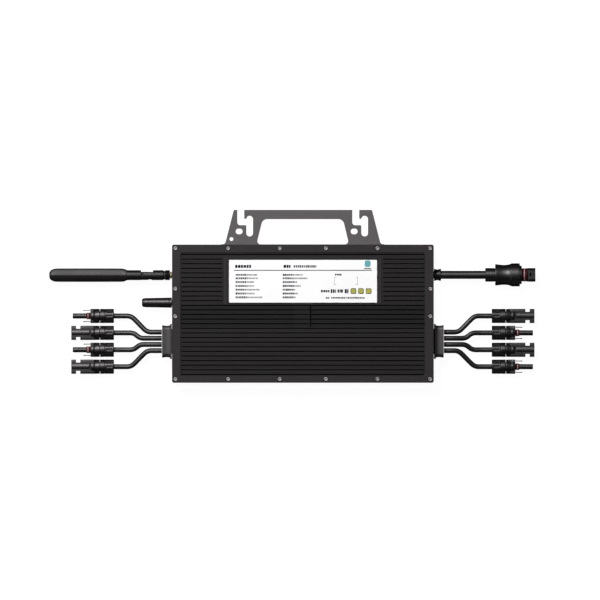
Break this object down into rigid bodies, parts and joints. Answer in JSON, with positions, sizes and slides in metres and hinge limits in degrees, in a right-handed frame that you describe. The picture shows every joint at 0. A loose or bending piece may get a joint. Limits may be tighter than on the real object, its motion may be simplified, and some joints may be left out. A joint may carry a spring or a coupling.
{
  "type": "micro inverter",
  "caption": "Flat finned black micro inverter with solar plug leads on both ends, an AC lead with a coupling, a folding antenna and a hook bracket.",
  "frame": {"origin": "centre of the case's flat back face, on the surface that the part lies on", "axes": "+X along the case from the antenna end to the AC lead, +Y to the hook bracket, +Z out of the back to the fins and the label"},
  "size_m": [0.6613, 0.2352, 0.04],
  "materials": {
    "case_black": "black powder-coated die casting, fine texture",
    "cover_black": "black coated aluminium fins, satin",
    "bracket_grey": "grey coated steel plate, fine texture",
    "screw_zinc": "bright zinc plating",
    "label_white": "white polyester film with grey print",
    "gland_black": "moulded black plastic, satin",
    "plug_black": "moulded black plastic, semi-gloss",
    "cable_black": "smooth black jacket",
    "seal_red": "dark red silicone",
    "brass": "turned brass",
    "antenna_black": "satin black moulding",
    "gasket_rubber": "matt black rubber",
    "board_green": "green solder mask",
    "ferrite": "matt dark ferrite",
    "capacitor_sleeve": "sleeved aluminium can",
    "relay_case": "moulded blue case"
  },
  "bodies": {
    "root": {"rear_tray": "case_black", "finned_cover": "cover_black", "cover_gasket": "gasket_rubber", "rating_label": "label_white", "main_board": "board_green", "power_transformer_left": "ferrite", "power_transformer_right": "ferrite", "bus_capacitor": "capacitor_sleeve", "grid_relay": "relay_case", "mounting_bracket": "bracket_grey", "bracket_screw_1": "screw_zinc", "bracket_screw_2": "screw_zinc", "bracket_screw_3": "screw_zinc", "bracket_screw_4": "screw_zinc", "pv_gland_left": "gland_black", "pv_gland_right": "gland_black", "ac_strain_relief": "gland_black", "pv_cable_1": "cable_black", "pv_cable_2": "cable_black", "pv_cable_3": "cable_black", "pv_cable_4": "cable_black", "pv_cable_5": "cable_black", "pv_cable_6": "cable_black", "pv_cable_7": "cable_black", "pv_cable_8": "cable_black", "ac_cable": "cable_black", "pv_plug_nut_1": "plug_black", "pv_plug_nut_2": "plug_black", "pv_plug_nut_3": "plug_black", "pv_plug_nut_4": "plug_black", "pv_plug_nut_5": "plug_black", "pv_plug_nut_6": "plug_black", "pv_plug_nut_7": "plug_black", "pv_plug_nut_8": "plug_black", "pv_plug_body_1": "plug_black", "pv_plug_body_2": "plug_black", "pv_plug_body_3": "plug_black", "pv_plug_body_4": "plug_black", "pv_plug_body_5": "plug_black", "pv_plug_body_6": "plug_black", "pv_plug_body_7": "plug_black", "pv_plug_body_8": "plug_black", "ac_plug_body": "plug_black", "ac_plug_insert": "plug_black", "ac_seal": "seal_red", "antenna_socket": "brass", "stub_antenna": "antenna_black"},
    "antenna_nut": {"antenna_nut": "antenna_black"},
    "antenna_base": {"antenna_base": "antenna_black", "antenna_hinge_pin": "antenna_black"},
    "antenna_blade": {"antenna_blade": "antenna_black"},
    "ac_coupling_ring": {"ac_coupling_ring": "plug_black"},
    "latch_1_upper": {"pv_latch_1_upper": "plug_black"},
    "latch_1_lower": {"pv_latch_1_lower": "plug_black"},
    "latch_3_upper": {"pv_latch_3_upper": "plug_black"},
    "latch_3_lower": {"pv_latch_3_lower": "plug_black"},
    "latch_6_upper": {"pv_latch_6_upper": "plug_black"},
    "latch_6_lower": {"pv_latch_6_lower": "plug_black"},
    "latch_8_upper": {"pv_latch_8_upper": "plug_black"},
    "latch_8_lower": {"pv_latch_8_lower": "plug_black"}
  },
  "joints": [
    {"name": "antenna_spin", "type": "hinge", "parent": "root", "child": "antenna_base", "pos_m": [-0.1885, 0.0524, 0.016], "axis": [1, 0, 0], "range_deg": [0, 135]},
    {"name": "antenna_tilt", "type": "hinge", "parent": "antenna_base", "child": "antenna_blade", "pos_m": [-0.212, 0.0514, 0.016], "axis": [0, 0, -1], "range_deg": [0, 90]},
    {"name": "antenna_nut_turn", "type": "hinge", "parent": "root", "child": "antenna_nut", "pos_m": [-0.1838, 0.0524, 0.016], "axis": [1, 0, 0], "continuous": true},
    {"name": "ac_ring_turn", "type": "hinge", "parent": "root", "child": "ac_coupling_ring", "pos_m": [0.2783, 0.0528, 0.016], "axis": [1, 0, 0], "range_deg": [0, 90]},
    {"name": "latch_1_upper_flex", "type": "hinge", "parent": "root", "child": "latch_1_upper", "pos_m": [-0.2893, 0.0046, 0.0099], "axis": [0, 0, 1], "range_deg": [0, 10], "stiffness_Nm_per_rad": 0.25},
    {"name": "latch_1_lower_flex", "type": "hinge", "parent": "root", "child": "latch_1_lower", "pos_m": [-0.2893, -0.0108, 0.0099], "axis": [0, 0, -1], "range_deg": [0, 10], "stiffness_Nm_per_rad": 0.25},
    {"name": "latch_3_upper_flex", "type": "hinge", "parent": "root", "child": "latch_3_upper", "pos_m": [-0.2893, -0.0414, 0.0099], "axis": [0, 0, 1], "range_deg": [0, 10], "stiffness_Nm_per_rad": 0.25},
    {"name": "latch_3_lower_flex", "type": "hinge", "parent": "root", "child": "latch_3_lower", "pos_m": [-0.2893, -0.0568, 0.0099], "axis": [0, 0, -1], "range_deg": [0, 10], "stiffness_Nm_per_rad": 0.25},
    {"name": "latch_6_upper_flex", "type": "hinge", "parent": "root", "child": "latch_6_upper", "pos_m": [0.2893, -0.0184, 0.0099], "axis": [0, 0, -1], "range_deg": [0, 10], "stiffness_Nm_per_rad": 0.25},
    {"name": "latch_6_lower_flex", "type": "hinge", "parent": "root", "child": "latch_6_lower", "pos_m": [0.2893, -0.0338, 0.0099], "axis": [0, 0, 1], "range_deg": [0, 10], "stiffness_Nm_per_rad": 0.25},
    {"name": "latch_8_upper_flex", "type": "hinge", "parent": "root", "child": "latch_8_upper", "pos_m": [0.2893, -0.0644, 0.0099], "axis": [0, 0, -1], "range_deg": [0, 10], "stiffness_Nm_per_rad": 0.25},
    {"name": "latch_8_lower_flex", "type": "hinge", "parent": "root", "child": "latch_8_lower", "pos_m": [0.2893, -0.0798, 0.0099], "axis": [0, 0, 1], "range_deg": [0, 10], "stiffness_Nm_per_rad": 0.25}
  ]
}
